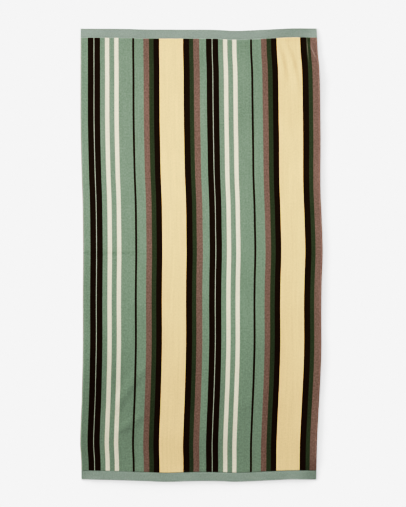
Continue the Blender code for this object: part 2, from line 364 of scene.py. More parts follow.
class TowelYarns(bpy.types.PropertyGroup):
    """The colours of the yarns and the thread, and of the painted crease highlights."""

    sage: yarn_colour("Sage", (0.209, 0.266, 0.205))
    mist: yarn_colour("Mist", (0.350, 0.388, 0.320))
    cream: yarn_colour("Cream", (0.790, 0.732, 0.570))
    ink: yarn_colour("Ink", (0.032, 0.019, 0.013))
    mauve: yarn_colour("Mauve", (0.207, 0.143, 0.119))
    forest: yarn_colour("Forest", (0.061, 0.077, 0.046))
    straw: yarn_colour("Straw", (0.930, 0.651, 0.336))
    # Not a yarn: the pale colour of the painted highlights along the creases.
    ground: yarn_colour("Ground", (0.420, 0.330, 0.300))
    hem: yarn_colour("Hem", (0.268, 0.316, 0.272))
    thread: yarn_colour("Thread", (0.300, 0.350, 0.303))


class TowelStudio(bpy.types.PropertyGroup):
    """The light, the surface and the camera."""

    side: amount("Side", "Strength of the side light", 3.2)
    head: amount("Head", "Strength of the light past the head", 5.8)
    top: amount("Top", "Power of the strip overhead", 4.2, "POWER")
    fill: amount("Fill", "Light from all around", 0.02)
    floor_tone: amount("Floor", "The floor's paleness", 0.90)
    floor_glow: amount("Floor glow", "How far the floor is lit from below", 0.69)
    lens: amount("Lens", "Focal length, in millimetres", 113, "CAMERA")
    camera_place: FloatVectorProperty(
        name="Camera",
        description="The camera's place, straight above the towel",
        default=(0.0061, 0.0057, 6.0),
        subtype="XYZ",
        unit="LENGTH",
    )


# -------- meshes


def placed(name, data):
    """A new object in the scene."""
    made = bpy.data.objects.new(name, data)
    bpy.context.scene.collection.objects.link(made)
    return made


def new_piece(name, points, faces, places, bake_map, materials):
    """A smooth mesh that rides on the frame, in place of the plain cloth.

    Places are (across, along) on the cloth for each point. The bake map is (u, v) for each
    corner of a face.
    """
    mesh = bpy.data.meshes.new(name)
    mesh.from_pydata(points.tolist(), [], faces)
    stored = mesh.attributes.new(PLACE, "FLOAT_VECTOR", "POINT")
    filled = np.zeros((len(points), 3), np.float32)
    filled[:, :2] = places
    stored.data.foreach_set("vector", filled.ravel())
    layer = mesh.uv_layers.new(name="OFBake")
    layer.uv.foreach_set("vector", np.asarray(bake_map, np.float32).ravel())
    mesh.shade_smooth()
    for material in materials:
        mesh.materials.append(material)
    piece = placed(name, mesh)
    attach(piece, "root")
    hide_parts("towel")
    return mesh


def quads_of(index):
    """The squares of each grid of point numbers, facing up, as one array of four corners."""
    near, far = index[..., :-1, :], index[..., 1:, :]
    corners = [near[..., :-1], near[..., 1:], far[..., 1:], far[..., :-1]]
    return np.stack(corners, axis=-1).reshape(-1, 4)


def map_corners(grid):
    """The places in the map of each corner of a grid's squares."""
    quads = quads_of(np.arange(grid[..., 0].size).reshape(grid.shape[:-1]))
    return grid.reshape(-1, 2)[quads]


def steps_from_both_ends(close, start, end, widest):
    """Places from start to end: close ones at both ends and even ones between."""
    first = start + close[-1]
    last = end - close[-1]
    count = math.ceil((last - first) / widest)
    even = np.linspace(first, last, count + 1)
    return np.concatenate([start + close[:-1], even, end - close[-2::-1]])


# -------- the pile body

GRID_STEP = 5.95 * MM
# Distances from an edge where the edge's shape needs points.
SELVEDGE_STEPS = np.array([0, 0.12, 0.4, 1.2, 2.2, 2.7, 3.1, 3.7, 4.5, 5.6, 8.0]) * MM
PILE_END_STEPS = np.array([0, 0.10, 0.4, 0.9, 1.6, 2.4, 3.4, 5.5]) * MM
SELVEDGE_TOP = 1.15 * MM
SELVEDGE_MIDDLE = 0.55 * MM
SELVEDGE_ROUND = 0.4 * MM
PILE_ROUND = 2.4 * MM
BACK_ROUND = 1.2 * MM
# The nap's unevenness: how far it is raised or pressed, and over what size.
NAP_DEPTH = 0.16 * MM
NAP_SIZE = 24 * MM
BAKE_MARGIN = 0.004


def pile_profile(cloth, from_side, from_end):
    """The upper and lower face over the cloth's underside, at distances from its edges."""
    rise = quarter_round(from_side - cloth.selvedge, PILE_ROUND)
    rise = np.where(from_side > cloth.selvedge, rise, 0)
    full = SELVEDGE_TOP + (cloth.pile - SELVEDGE_TOP) * rise
    hem_middle = 2.5 * cloth.ply + 2 * cloth.ply_gap
    turn = rising(from_side, cloth.selvedge, cloth.selvedge + PILE_ROUND)
    middle = SELVEDGE_MIDDLE + (hem_middle - SELVEDGE_MIDDLE) * turn
    side = quarter_round(from_side, SELVEDGE_ROUND)
    opening = np.minimum(side, quarter_round(from_end, PILE_ROUND))
    back = np.minimum(side, quarter_round(from_end, BACK_ROUND))
    return middle + (full - middle) * opening, middle * (1 - back)


def nap_unevenness(points_across, points_along):
    """How the nap is raised here and pressed there, in metres."""
    flat = zip(points_across.ravel() / NAP_SIZE, points_along.ravel() / NAP_SIZE)
    raised = [noise(Vector((a, b, 0))) + noise(Vector((3 * a, 3 * b, 7))) / 3 for a, b in flat]
    return np.reshape(raised, points_across.shape) * NAP_DEPTH


def make_pile(cloth, materials):
    """The velour body: its face, its back, both selvedges and its ends beside the hems."""
    columns = steps_from_both_ends(SELVEDGE_STEPS, 0, cloth.width, GRID_STEP)
    rows = steps_from_both_ends(
        PILE_END_STEPS, cloth.hem_depth, cloth.length - cloth.hem_depth, GRID_STEP
    )
    across, along = np.meshgrid(columns, rows)
    from_side = np.minimum(across, cloth.width - across)
    from_end = np.minimum(along - rows[0], rows[-1] - along)
    upper, lower = pile_profile(cloth, from_side, from_end)
    x_mm, y_mm = from_middle_mm(cloth, across, along)
    creases = sum(fold_height(crease, x_mm, y_mm) for crease in CREASES) * MM
    inside = rising(from_side, cloth.selvedge, 3 * PILE_ROUND) * rising(from_end, 0, PILE_ROUND)
    upper = upper + (creases + nap_unevenness(across, along)) * inside

    face_points = laid(cloth, across, along, upper).reshape(-1, 3)
    face_index = np.arange(across.size).reshape(across.shape)
    middle = (slice(1, -1), slice(1, -1))
    back_points = laid(cloth, across[middle], along[middle], lower[middle]).reshape(-1, 3)
    back_index = face_index.copy()
    inner = back_index[middle]
    inner[:] = across.size + np.arange(inner.size).reshape(inner.shape)
    points = np.concatenate([face_points, back_points])
    flat = np.stack([across, along], axis=-1)
    places = np.concatenate([flat.reshape(-1, 2), flat[middle].reshape(-1, 2)])
    face_quads = quads_of(face_index)
    back_quads = quads_of(back_index)[:, ::-1]

    # The face and the back lie side by side in the map.
    share = places / (cloth.width, cloth.length) * (1 - 2 * BAKE_MARGIN) + BAKE_MARGIN
    face_map = share[face_quads.ravel()] * (0.5, 1)
    back_map = share[back_quads.ravel()] * (0.5, 1) + (0.5, 0)
    mesh = new_piece(
        "towel_pile",
        points,
        np.concatenate([face_quads, back_quads]).tolist(),
        places,
        np.concatenate([face_map, back_map]),
        materials,
    )
    on_back = np.repeat([0, 1], [len(face_quads), len(back_quads)]).astype(np.int32)
    mesh.polygons.foreach_set("material_index", on_back)


# -------- the hems

RIB_PITCH = 1.0 * MM
RIB_HEIGHT = 0.05 * MM
FINE_STEP = RIB_PITCH / 4
COARSE_STEP = 4 * MM
HEM_COLUMN = 4.5 * MM
# How far a hem reaches under the pile, how short of the pile it turns back, and how far from
# the towel's end the raw edge inside it lies.
TUCK = 2.0 * MM
TURN_SHORT = 0.8 * MM
RAW_EDGE = 6.0 * MM
TURN_STEPS = 8
CORNER_ROUND = 3.0 * MM
STITCH_PINCH = 0.22 * MM
PINCH_REACH = 3.0 * MM
PUCKER = 0.16 * MM
PUCKER_SIZE = 9 * MM
PUCKER_REACH = 11 * MM
HEM_SHARP_DEG = 60
# In a hem's map its sides take up this share of the width, and the caps lie in the rest.
SIDES_SHARE = 0.9
CAP_SIZE = 0.05
CAP_PLACE = (0.93, 0.1)
NEXT_CAP = (0, 0.3)

# A stop on the folded ply: its depth from the towel's end, its height, and its outward normal.
Stop = namedtuple("Stop", "depth over out_depth out_over")


def straight_run(start, end, over, out_over, step):
    """Stops on a flat ply, from one depth to another."""
    count = max(round(abs(end - start) / step), 1)
    return [Stop(depth, over, 0, out_over) for depth in np.linspace(start, end, count + 1)]


def turned(depth, over, radius, start_deg):
    """Stops round a half turn, against the clock as the foot is seen from the left."""
    angles = np.radians(start_deg) + np.linspace(0, math.pi, TURN_STEPS + 1)[1:-1]
    return [
        Stop(depth + radius * math.cos(a), over + radius * math.sin(a), math.cos(a), math.sin(a))
        for a in angles
    ]


def folded_ply(cloth, step):
    """The hem's cloth in section: under the pile's edge, out, round, back and turned in."""
    lower = cloth.ply / 2 + cloth.ply_gap
    between = cloth.ply + cloth.ply_gap
    middle = lower + between
    upper = middle + between
    fold = cloth.hem_depth - TURN_SHORT
    edge = between + cloth.ply / 2
    return [
        *straight_run(cloth.hem_depth + TUCK, edge, upper, 1, step),
        *turned(edge, middle, between, start_deg=90),
        *straight_run(edge, fold, lower, -1, step),
        *turned(fold, lower + between / 2, between / 2, start_deg=270),
        *straight_run(fold, RAW_EDGE, middle, 1, COARSE_STEP),
    ]


def off_stop(stop, reach):
    """The depth and height of a point beside a stop, outwards by the reach."""
    return stop.depth + stop.out_depth * reach, stop.over + stop.out_over * reach


def hem_outline(cloth):
    """The folded ply's outline in section, ribbed outside, as depths and heights in order."""
    outline = []
    for stop in folded_ply(cloth, FINE_STEP):
        rib = RIB_HEIGHT * (math.cos(2 * math.pi * stop.depth / RIB_PITCH) - 1) / 2
        outline.append(off_stop(stop, cloth.ply / 2 + rib))
    for stop in reversed(folded_ply(cloth, COARSE_STEP)):
        outline.append(off_stop(stop, -cloth.ply / 2))
    return np.array(outline)


def hem_rise(cloth, across, depth, over):
    """How far stitching pinches and puckers the hem's plies, at each place."""
    from_stitch = depth - (cloth.hem_depth - cloth.stitch_inset)
    half = 1.5 * cloth.ply + 1.5 * cloth.ply_gap
    pinch = -np.sign(over - half) * STITCH_PINCH * falling(from_stitch, PINCH_REACH)
    line = wander(across, PUCKER_SIZE, seed=3.0) + wander(across, 4 * PUCKER_SIZE, seed=5.0)
    height_share = np.clip(over / (2 * half), 0, 1)
    return pinch + PUCKER * line * falling(from_stitch, PUCKER_REACH) * height_share


def along_from(cloth, end, depth):
    """The place along the cloth at a depth from its head or foot end."""
    return cloth.length - depth if end == "head" else depth


def make_hem(cloth, end, material):
    """One hem: flat-woven cloth, turned twice, with its plies showing at both sides."""
    outline = hem_outline(cloth)
    columns = np.linspace(0, cloth.width, round(cloth.width / HEM_COLUMN) + 1)
    square = np.repeat(columns, len(outline))
    depth, over = np.tile(outline, (len(columns), 1)).T
    inset = CORNER_ROUND * (1 - quarter_round(depth, CORNER_ROUND))
    across = np.clip(square, inset, cloth.width - inset)
    rise = hem_rise(cloth, square, depth, over)
    points = laid(cloth, across, along_from(cloth, end, depth), over + rise)

    index = np.arange(len(points)).reshape(len(columns), len(outline))
    index = np.concatenate([index, index[:, :1]], axis=1)
    outwards = slice(None, None, -1 if end == "head" else 1)
    faces = quads_of(index)[:, outwards]
    cap = np.array(tessellate_polygon([[Vector((d, o, 0)) for d, o in outline]]))
    caps = [cap[:, ::-1][:, outwards], (cap + index[-1, 0])[:, outwards]]
    # The outline unrolls up the map, and the two caps lie in a strip beside it.
    run = np.linspace(0, 1, len(outline) + 1)
    side = np.linspace(0, SIDES_SHARE, len(columns))
    unrolled = np.stack(np.meshgrid(side, run, indexing="ij"), axis=-1)
    sides_map = map_corners(unrolled)[:, outwards]
    flat_caps = outline * (CAP_SIZE / (cloth.hem_depth + TUCK)) + CAP_PLACE
    cap_maps = [
        flat_caps[corners.ravel() % len(outline)] + np.multiply(NEXT_CAP, number)
        for number, corners in enumerate(caps)
    ]
    mesh = new_piece(
        f"{end}_hem",
        points,
        faces.tolist() + caps[0].tolist() + caps[1].tolist(),
        np.stack([across, along_from(cloth, end, depth)], axis=-1),
        np.concatenate([sides_map.reshape(-1, 2), *cap_maps]),
        [material],
    )
    mesh.set_sharp_from_angle(angle=math.radians(HEM_SHARP_DEG))


# -------- the stitches

STITCH_SIDES = 6
STITCH_SHARES = (0.0, 0.10, 0.28, 0.5, 0.72, 0.90, 1.0)
STITCH_DIP = 0.30 * MM
STITCH_GAP = 0.35 * MM
STITCH_LEAN = 0.10
STITCH_WAVER = 0.15 * MM
STITCH_WAVER_SIZE = 12 * MM
# A stitch is this share of the thread's thickness at its tips, and sits up by the other share.
STITCH_TIP = 0.55
STITCH_PROUD = 0.18
# Room for this many stitches is left over at the two sides of the towel.
STITCHES_SHORT = 4
# In a stitch's cell of the map: where its sides and its two ends lie, and the ends' size.
SIDES_U = (0.05, 0.95)
SIDES_V = (0, 0.3)
END_SIZE = (0.3, 0.04)
FIRST_END = (0.5, 0.36)
LAST_END = (0.5, 0.45)
ROW_V = 0.5


def stitch_angles():
    return np.arange(STITCH_SIDES) * 2 * math.pi / STITCH_SIDES


def stitch_rings(cloth):
    """One stitch's points: how far along the seam, aside of it and over the cloth they are."""
    share, angle = np.meshgrid(STITCH_SHARES, stitch_angles(), indexing="ij")
    length = cloth.stitch_pitch - STITCH_GAP
    arch = np.sin(math.pi * share)
    thick = cloth.thread / 2 * (STITCH_TIP + (1 - STITCH_TIP) * np.sqrt(arch))
    run = length * (share - 0.5)
    aside = thick * np.cos(angle) + STITCH_LEAN * run
    sunk = STITCH_DIP * (1 - arch) ** 2
    over = cloth.thread * STITCH_PROUD - sunk + thick * np.sin(angle)
    return np.stack([run, aside, over], axis=-1)


def make_stitches(cloth, end, material):
    """The row of lockstitch through one hem, on its face and on its back."""
    rings = stitch_rings(cloth)
    count = int(cloth.width / cloth.stitch_pitch) - STITCHES_SHORT
    stations = (np.arange(count) - (count - 1) / 2) * cloth.stitch_pitch + cloth.width / 2
    depth = cloth.hem_depth - cloth.stitch_inset
    surface = {1: 3 * cloth.ply + 2.5 * cloth.ply_gap, -1: cloth.ply_gap}
    towards = -1 if end == "head" else 1
    points, places, quads, ends, bake_map = [], [], [], [], []
    for row, up in enumerate((1, -1)):
        waver = STITCH_WAVER * wander(stations, STITCH_WAVER_SIZE, seed=9 + row)
        across = stations[:, None, None] + rings[..., 0]
        at_depth = depth + waver[:, None, None] + rings[..., 1] * up * towards
        rise = hem_rise(cloth, stations, depth, surface[up])
        over = surface[up] + rise[:, None, None] + rings[..., 2] * up
        along = along_from(cloth, end, at_depth)
        points.append(laid(cloth, across, along, over).reshape(-1, 3))
        places.append(np.stack(np.broadcast_arrays(across, along), axis=-1).reshape(-1, 2))

        index = np.arange(across.size).reshape(across.shape) + row * across.size
        quads.append(quads_of(np.concatenate([index, index[..., :1]], axis=-1)))
        ends.append(np.concatenate([index[:, 0, ::-1], index[:, -1]]))
        bake_map.append(stitch_map(count, row))
    faces = [*np.concatenate(quads).tolist(), *np.concatenate(ends).tolist()]
    maps = [part for kind in zip(*bake_map) for part in kind]
    new_piece(
        f"{end}_stitches",
        np.concatenate(points),
        faces,
        np.concatenate(places),
        np.concatenate(maps),
        [material],
    )


def stitch_map(count, row):
    """Where a row of stitches lies in the map: their unrolled sides, then all their ends."""
    rings = np.linspace(*SIDES_U, len(STITCH_SHARES))
    u, v = np.meshgrid(rings, np.linspace(*SIDES_V, STITCH_SIDES + 1))
    grid = np.stack([u.T, v.T], axis=-1)
    one = map_corners(grid).reshape(-1, 2)
    angles = stitch_angles()
    circle = np.stack([np.cos(angles), np.sin(angles)], axis=-1) * END_SIZE
    cell = np.stack([np.arange(count), np.full(count, ROW_V * row)], axis=-1)[:, None]
    sides = (one + cell) / (count, 1)
    first_ends = (circle[::-1] + FIRST_END + cell) / (count, 1)
    last_ends = (circle + LAST_END + cell) / (count, 1)
    return sides.reshape(-1, 2), np.concatenate([first_ends, last_ends]).reshape(-1, 2)


# -------- nodes


class Wire:
    """What a node puts out. Plain arithmetic on it adds math nodes."""

    def __init__(self, socket):
        self.socket = socket

    def __getitem__(self, label):
        """Another output of the same node."""
        return Wire(self.socket.node.outputs[label])

    def add(self, kind, inputs, **settings):
        """Adds a node beside this one's."""
        return add(self.socket.id_data, kind, inputs, **settings)

    def math(self, operation, *others):
        return self.add("Math", enumerate((self, *others)), operation=operation)

    def __add__(self, other):
        return self.math("ADD", other)

    def __sub__(self, other):
        return self.math("SUBTRACT", other)

    def __mul__(self, other):
        return self.math("MULTIPLY", other)

    def __truediv__(self, other):
        return self.math("DIVIDE", other)

    def __abs__(self):
        return self.math("ABSOLUTE")


def feed(node, inputs):
    """Sets or links a node's inputs, by name or number."""
    for key, value in dict(inputs).items():
        if isinstance(value, Wire):
            node.id_data.links.new(value.socket, node.inputs[key])
        else:
            node.inputs[key].default_value = value


def add(tree, kind, inputs=(), **settings):
    """Adds a node, changes its settings, sets or links its inputs, and gives its output."""
    made = tree.nodes.new("ShaderNode" + kind)
    for name, value in settings.items():
        setattr(made, name, value)
    feed(made, inputs)
    return Wire(made.outputs[0])


def clamped(value, low, high):
    return value.math("MAXIMUM", low).math("MINIMUM", high)


def spread(value, low, high, to_low=0.0, to_high=1.0):
    """A value taken from one range to another, with smooth ends."""
    ranges = {"Value": value, 1: low, 2: high, 3: to_low, 4: to_high}
    return value.add("MapRange", ranges, interpolation_type="SMOOTHSTEP")


def levelled(colour, level):
    """A colour, made darker or brighter."""
    return level.add("VectorMath", {0: colour, "Scale": level}, operation="SCALE")


def parts_of(place):
    """How far across and along the cloth a place is."""
    parts = place.add("SeparateXYZ", {0: place})
    return parts["X"], parts["Y"]


def in_spots(place, across, along):
    """A place on the cloth, counted in spots of the size."""
    scales = {0: place, 1: (1 / across, 1 / along, 1)}
    return place.add("VectorMath", scales, operation="MULTIPLY")


def flecks(place, size, stretch=1.0, detail=2.0):
    """Noise from about -1 to 1, with spots of the size across and longer ones along."""
    spots = {"Vector": in_spots(place, size, size * stretch), "Scale": 1.0, "Detail": detail}
    return place.add("TexNoise", spots)["Fac"] * 2.0 - 1.0


# What a node group's socket carries, where that isn't a plain amount.
CARRIED = {"Place": "Vector", "Colour": "Color"}


def new_sockets(tree, in_out, labels):
    for label in labels:
        kind = "NodeSocket" + CARRIED.get(label, "Float")
        tree.interface.new_socket(label, in_out=in_out, socket_type=kind)


def new_group(name, build, inputs):
    """A node group that takes the inputs and puts out what its builder makes of them."""
    tree = bpy.data.node_groups.new(name, "ShaderNodeTree")
    new_sockets(tree, "INPUT", inputs)
    outputs = build(Wire(tree.nodes.new("NodeGroupInput").outputs[0]))
    new_sockets(tree, "OUTPUT", outputs)
    feed(tree.nodes.new("NodeGroupOutput"), outputs)
    return tree


def grouped(build, **inputs):
    """Places a node group beside the place's node, building it if it isn't there yet."""
    name = build.__name__.replace("_", " ")
    tree = bpy.data.node_groups.get(name) or new_group(name, build, inputs)
    return inputs["Place"].add("Group", inputs, node_tree=tree)


# The stripe's edges wander with spots of this size across the cloth, longer along it.
EDGE_SPOT = 1.6 * MM
EDGE_STRETCH = 1.5


def warp_stripes(given):
    """The stripe's colour at a place, how uneven it is, and edges wandering by a few fibres."""
    yarns = bpy.context.scene.towel_yarns
    across, _ = parts_of(given["Place"])
    shift = flecks(given["Place"], EDGE_SPOT, EDGE_STRETCH) * given["Wander"]
    at_mm = clamped((across + shift) / MM, STRIPE_STARTS_MM, STRIPE_ENDS_MM)
    repeat = sum(width_mm for _, width_mm in REPEAT)
    in_repeat = (at_mm - LEFT_STRIPE_MM).math("FLOORED_MODULO", repeat)
    ramp = given.add("ValToRGB", {"Fac": in_repeat / repeat})
    stops = ramp.socket.node.color_ramp
    stops.interpolation = "CONSTANT"
    stops.elements.remove(stops.elements[1])
    left = 0.0
    for yarn, width_mm in REPEAT:
        stop = stops.elements.new(left / repeat) if left else stops.elements[0]
        stop.color = (*getattr(yarns, yarn), UNEVEN[yarn])
        left += width_mm
    return {"Colour": ramp["Color"], "Uneven": ramp["Alpha"]}


# The sizes of a yarn's light and dark spots across the cloth, and how much longer they are along.
Spots = namedtuple("Spots", "name size_mm stretch")

SPOTS = (
    Spots("Fibre", 0.9, 1.4), Spots("Tuft", 5.5, 1.2), Spots("Thread", 7.0, 30),
    Spots("Patch", 70, 1.6),
)


def yarn_shade(given):
    """A yarn colour, lighter and darker by fibre, by tuft, by thread and over broad patches."""
    level = 1.0
    for spots in SPOTS:
        unevenness = flecks(given["Place"], spots.size_mm * MM, spots.stretch)
        level = unevenness * given[spots.name] + level
    return {"Colour": levelled(given["Colour"], level.math("MAXIMUM", 0.0))}


# A painted highlight along the right edge: the base colour is made paler over the selvedge and
# this reach of the pile, standing in for light caught by the edge.
EDGE_HIGHLIGHT_REACH = 4.2 * MM
EDGE_HIGHLIGHT_GAIN = 1.35
# A selvedge's weave gives way to pile over this run.
SELVEDGE_BLEND = 0.5 * MM


def selvedge_mask(given):
    """1 on the flat-woven selvedges, 0 where there is pile, and how strongly the painted highlight
    at the right edge shows.
    """
    sizes = bpy.context.scene.towel_sizes
    across, _ = parts_of(given["Place"])
    other = across * -1.0 + sizes.width
    start = sizes.selvedge
    nearest = across.math("MINIMUM", other)
    mask = spread(nearest, start, start + SELVEDGE_BLEND, 1.0, 0.0)
    # Painted highlight: 1 at the right edge, fading to 0 over its reach.
    beside = spread(other, start, start + EDGE_HIGHLIGHT_REACH, 1.0, 0.0)
    return {"Mask": mask, "Right edge": beside}


def flat_weave(given):
    """Plain weave: how high its threads stand at a place, from 0 to 1."""
    threads = [part / given["Pitch"] * math.pi for part in parts_of(given["Place"])]
    across, along = (thread.math("SINE") for thread in threads)
    return {"Height": across * along * 0.5 + 0.5}


def parted_pile(given):
    """How much of the painted crease highlights' pale colour a place gets."""
    x_mm, y_mm = from_middle_mm(bpy.context.scene.towel_sizes, *parts_of(given["Place"]))
    share = 0.0
    for crease_highlight in CREASE_HIGHLIGHTS:
        passed, aside = beside_line(crease_highlight, x_mm, y_mm)
        taper = spread(clamped(passed, 0.0, 1.0).math("PINGPONG", 0.5), 0.0, 0.5)
        near = spread(abs(aside), 0.0, crease_highlight.half_width_mm, 1.0, 0.0)
        share = taper * near * crease_highlight.share + share
    return {"Share": share}


# A storage fold's step rises over this run, and sinks back over the longer one. Its ends fade.
STEP_RUN_MM = 11.0
STEP_FADE_MM = 75.0
STEP_END_MM = 22.0


def storage_folds(given):
    """How high the steps of the storage folds stand at a place, in millimetres."""
    x_mm, y_mm = from_middle_mm(bpy.context.scene.towel_sizes, *parts_of(given["Place"]))
    height = 0.0
    for fold in STORAGE_FOLDS:
        ahead = y_mm - fold.y
        step = spread(ahead, -STEP_RUN_MM / 2, STEP_RUN_MM / 2)
        fade = spread(ahead, STEP_RUN_MM / 2, STEP_FADE_MM, 1.0, 0.0)
        start = spread(x_mm, fold.from_x - STEP_END_MM, fold.from_x + STEP_END_MM)
        end = spread(x_mm, fold.to_x - STEP_END_MM, fold.to_x + STEP_END_MM, 1.0, 0.0)
        height = step * fade * start * end * fold.step_mm + height
    return {"Height": height}


# -------- finishes

# How far the stripes' edges wander on the face, and on the back.
FACE_WANDER = 0.35 * MM
BACK_WANDER = 0.8 * MM
SELVEDGE_WEAVE = 0.55 * MM
# The face's fibres and tufts across, how much longer they are along, and how high they stand.
FIBRE = 0.7 * MM
FIBRE_STRETCH = 1.2
TUFT = 3.2 * MM
TUFT_STRETCH = 1.4
FACE_RELIEF = 0.12 * MM
# The back's loops across and along, how uneven they are, and how far one reaches in its cell.
LOOP_ACROSS = 1.3 * MM
LOOP_ALONG = 1.9 * MM
LOOP_UNEVEN = 0.55
LOOP_REACH = 0.75
BACK_RELIEF = 0.5 * MM
PILE_RELIEF_STRENGTH = 0.8
HEM_RELIEF = 0.10 * MM
TWIST_PITCH = 0.35 * MM
TWIST_RELIEF = 0.05 * MM


def new_material(name):
    material = bpy.data.materials.new(name)
    material.use_nodes = True
    return material


def cloth_material(name):
    """A new material, and the place on the cloth in its nodes."""
    material = new_material(name)
    return material, add(material.node_tree, "Attribute", attribute_name=PLACE)["Vector"]


def finish_material(material, inputs):
    """Sets or links the inputs of the material's Principled shader."""
    feed(material.node_tree.nodes["Principled BSDF"], inputs)
    return material


def raised(height, how_far, strength=1.0, **over):
    """The normal over a height that stands how_far over the cloth, or over another Normal."""
    return height.add(
        "Bump", {"Strength": strength, "Distance": how_far, "Height": height, **over}
    )


def pile_or_weave(place, pile, mask):
    """The height of the pile, and of the selvedges' plain weave where the mask is 1."""
    weave = grouped(flat_weave, Place=place, Pitch=SELVEDGE_WEAVE)
    return place.add("Mix", {0: mask, 2: pile, 3: weave})


def velour_face():
    """The sheared face: matt, dense and finely flecked, in its stripes, with painted highlights at
    the right edge and along two creases.
    """
    material, place = cloth_material("velour face")
    edges = grouped(selvedge_mask, Place=place)
    stripes = grouped(warp_stripes, Place=place, Wander=FACE_WANDER)
    tuft = stripes["Uneven"] * 0.60
    amounts = {"Fibre": 0.22, "Tuft": tuft, "Thread": 0.10, "Patch": 0.05}
    yarn = grouped(yarn_shade, Place=place, Colour=stripes["Colour"], **amounts)
    crease_highlight_share = grouped(parted_pile, Place=place)
    ground = (*bpy.context.scene.towel_yarns.ground, 1.0)
    # Painted highlight: a pale colour mixed into the base colour along two sharp creases.
    yarn_with_crease_highlights = place.add("Mix", {0: crease_highlight_share, 6: yarn, 7: ground}, data_type="RGBA")[2]
    nap = flecks(place, FIBRE, FIBRE_STRETCH, 3.0)
    pile = flecks(place, TUFT, TUFT_STRETCH) * 0.5 + nap
    height = pile_or_weave(place, pile, edges["Mask"])
    folded = raised(grouped(storage_folds, Place=place), MM)
    looks = {
        # Painted highlight: the base colour is brightened towards the right edge.
        "Base Color": levelled(yarn_with_crease_highlights, edges["Right edge"] * EDGE_HIGHLIGHT_GAIN + 1.0),
        "Roughness": nap * 0.05 + 0.92,
        "Normal": raised(height, FACE_RELIEF, PILE_RELIEF_STRENGTH, Normal=folded),
        "Specular IOR Level": 0.18,
        "Sheen Weight": 0.06,
        "Sheen Roughness": 0.45,
    }
    return finish_material(material, looks)


def looped_back():
    """The back: uncut loops in rows, in the same stripes, with painted shade between the loops."""
    material, place = cloth_material("looped back")
    mask = grouped(selvedge_mask, Place=place)["Mask"]
    stripes = grouped(warp_stripes, Place=place, Wander=BACK_WANDER)
    cells = in_spots(place, LOOP_ACROSS, LOOP_ALONG)
    rows = {"Vector": cells, "Scale": 1.0, "Randomness": LOOP_UNEVEN}
    loops = place.add("TexVoronoi", rows, voronoi_dimensions="2D")["Distance"]
    crown = spread(loops, 0.0, LOOP_REACH, 1.0, 0.0)
    amounts = {"Fibre": 0.25, "Tuft": 0.12, "Thread": 0.10, "Patch": 0.05}
    yarn = grouped(yarn_shade, Place=place, Colour=stripes["Colour"], **amounts)
    # Painted shade: the base colour darkens from each loop's crown to the hollows between loops,
    # except on the selvedges.
    level = (crown * 0.45 + 0.6).math("MAXIMUM", mask)
    height = pile_or_weave(place, crown, mask)
    looks = {
        "Base Color": levelled(yarn, level),
        "Roughness": crown * -0.06 + 0.95,
        "Normal": raised(height, BACK_RELIEF, PILE_RELIEF_STRENGTH),
        "Specular IOR Level": 0.18,
        "Sheen Weight": 0.06,
        "Sheen Roughness": 0.5,
    }
    return finish_material(material, looks)


def flat_woven_hem():
    """The hem's cloth: fine weft ribs, which its shape has, crossed by warp threads, with painted
    light on the threads' crowns and painted shade in the weave's dips.
    """
    material, place = cloth_material("flat-woven hem")
    hem = (*bpy.context.scene.towel_yarns.hem, 1.0)
    amounts = {"Fibre": 0.14, "Tuft": 0.16, "Thread": 0.0, "Patch": 0.08}
    yarn = grouped(yarn_shade, Place=place, Colour=hem, **amounts)
    weave = grouped(flat_weave, Place=place, Pitch=RIB_PITCH / 2)
    looks = {
        # Painted light and shade: the base colour is lighter where the weave stands high and
        # darker in its dips.
        "Base Color": levelled(yarn, weave * 0.16 + 0.92),
        "Roughness": weave * -0.08 + 0.86,
        "Normal": raised(weave, HEM_RELIEF),
        "Specular IOR Level": 0.3,
        "Sheen Weight": 0.05,
        "Sheen Roughness": 0.5,
    }
    return finish_material(material, looks)


def sewing_thread():
    """The hem's thread: twisted polyester, a little paler than the hem."""
    material, place = cloth_material("sewing thread")
    thread = (*bpy.context.scene.towel_yarns.thread, 1.0)
    across, along = parts_of(place)
    twist = ((across + along) * (2 * math.pi / TWIST_PITCH)).math("SINE")
    amounts = {"Fibre": 0.12, "Tuft": 0.05, "Thread": 0.0, "Patch": 0.0}
    looks = {
        "Base Color": grouped(yarn_shade, Place=place, Colour=thread, **amounts),
        "Roughness": twist * 0.05 + 0.6,
        "Normal": raised(twist * 0.5 + 0.5, TWIST_RELIEF),
        "Specular IOR Level": 0.4,
        "Sheen Weight": 0.05,
    }
    return finish_material(material, looks)


def material_named(build):
    """A material, made once and then shared."""
    name = build.__name__.replace("flat_woven", "flat-woven").replace("_", " ")
    return bpy.data.materials.get(name) or build()


# -------- the stage

FLOOR_REACH = 40.0
FLOOR_DROP = 0.3 * MM
STRIP_SIZE = (2.0, 1.47)
STRIP_PLACE = (-0.32, 0.50, 1.20)
STRIP_TURN_DEG = -27
STRIP_SPREAD_DEG = 83

# A far light: where it stands, anticlockwise from the right side, how high, and how wide it looks.
FarLight = namedtuple("FarLight", "turn_deg rise_deg spread_deg")

SIDE_LIGHT = FarLight(172, 17, 16)
HEAD_LIGHT = FarLight(108, 16, 44)

PICTURE_WHITE = 0.913
# The picture's tone: how light each amount of light on the towel comes out.
Tone = namedtuple("Tone", "light picture")

FILM = (
    Tone(0.0, 0.0), Tone(0.03, 0.003), Tone(0.08, 0.024), Tone(0.18, 0.124), Tone(0.35, 0.350),
    Tone(0.62, 0.581), Tone(0.90, 0.738), Tone(1.15, 0.823), Tone(1.42, PICTURE_WHITE),
)


